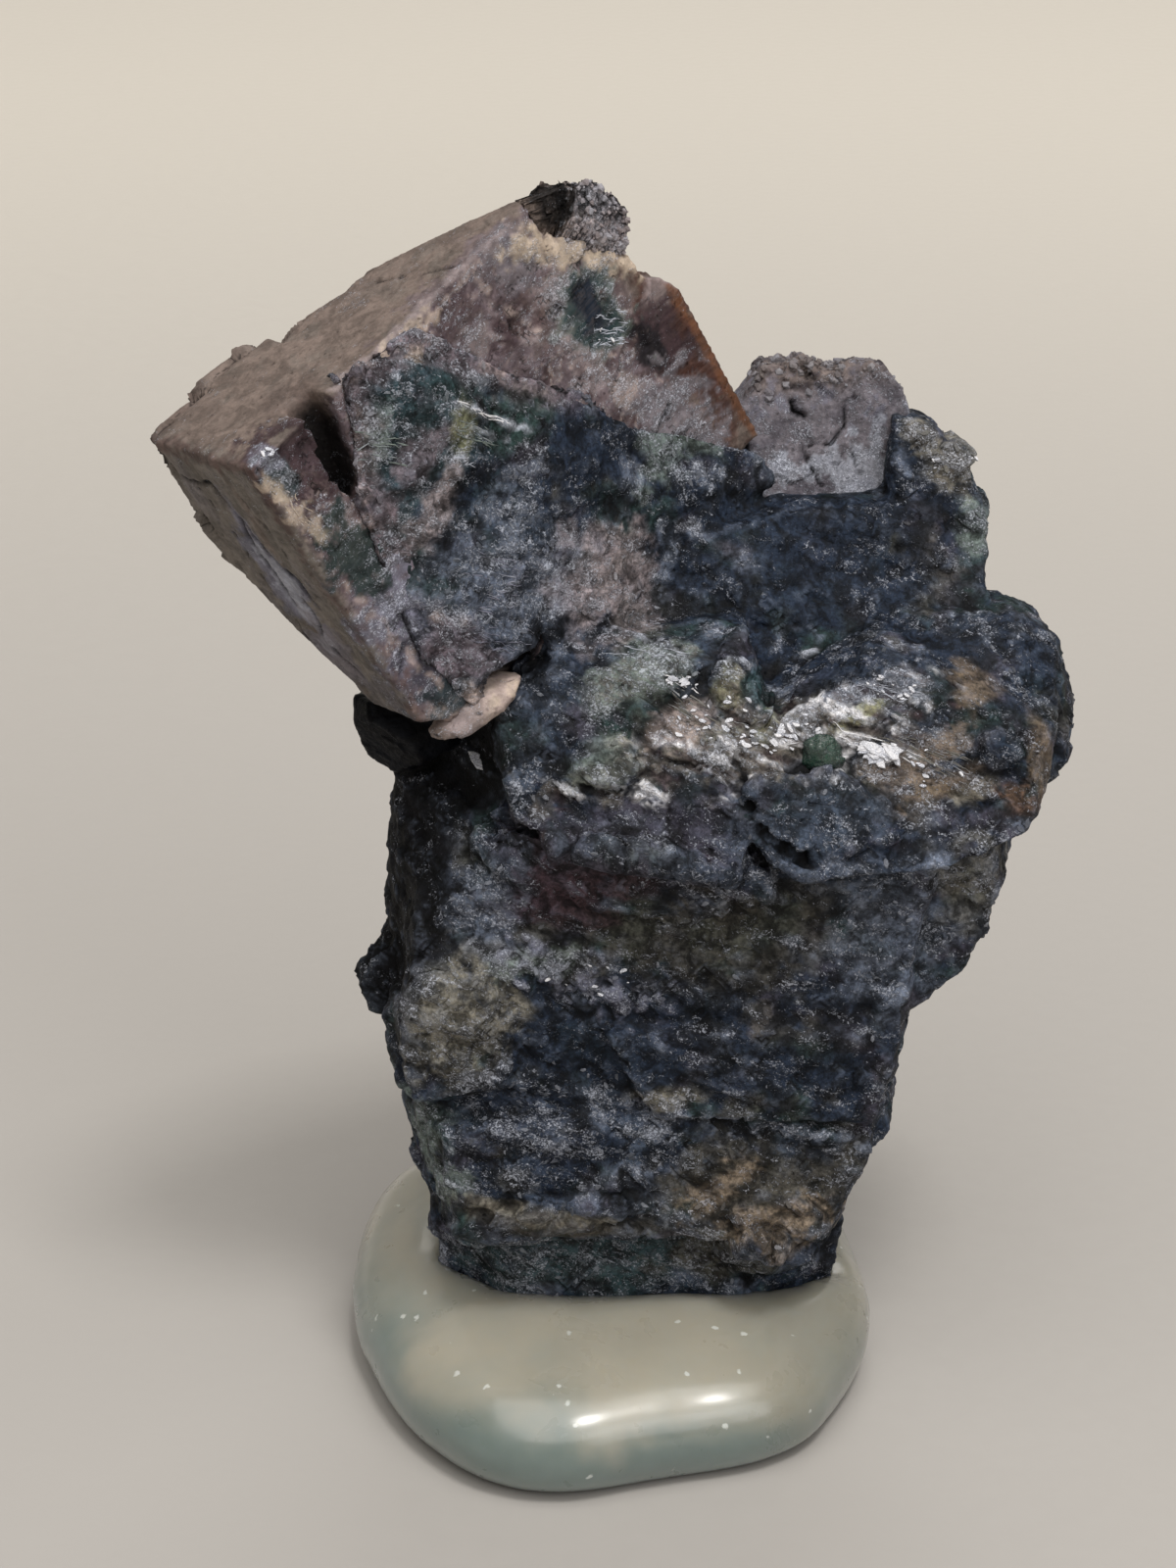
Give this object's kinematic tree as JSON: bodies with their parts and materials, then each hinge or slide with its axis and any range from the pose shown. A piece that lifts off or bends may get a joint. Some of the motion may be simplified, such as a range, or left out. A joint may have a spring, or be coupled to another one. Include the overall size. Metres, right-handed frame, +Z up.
{
  "type": "perovskite specimen",
  "caption": "Pseudo-cubic brown perovskite crystal in dark foliated chlorite schist, standing upright in a pad of clear mounting putty.",
  "frame": {"origin": "centre of the putty pad's flat underside", "axes": "+Z up; the show face looks along -Y, and +X is to the viewer's right when facing it"},
  "size_m": [0.0552, 0.0387, 0.0763],
  "materials": {
    "putty": "translucent milky putty, smooth and glossy, with small bubbles",
    "schist": "fine-grained dark blue-green chlorite schist with silvery mica flakes",
    "perovskite": "brown submetallic crystal faces with fine growth striations and tan worn edges",
    "grey_perovskite": "grey submetallic crystal face, finely pitted and cracked",
    "black_crystal": "near-black, smooth and shiny",
    "crust": "dark grey granular crust with small bright grains",
    "rind": "cream waxy rind, darker towards its ends",
    "chlorite_glass": "dark green glassy grain"
  },
  "bodies": {
    "root": {"putty_pad": "putty", "schist_matrix": "schist", "perovskite_block": "perovskite", "side_crystal": "grey_perovskite", "dark_crystal": "black_crystal", "grey_crust": "crust", "cream_rind": "rind", "green_grain": "chlorite_glass"}
  },
  "joints": []
}
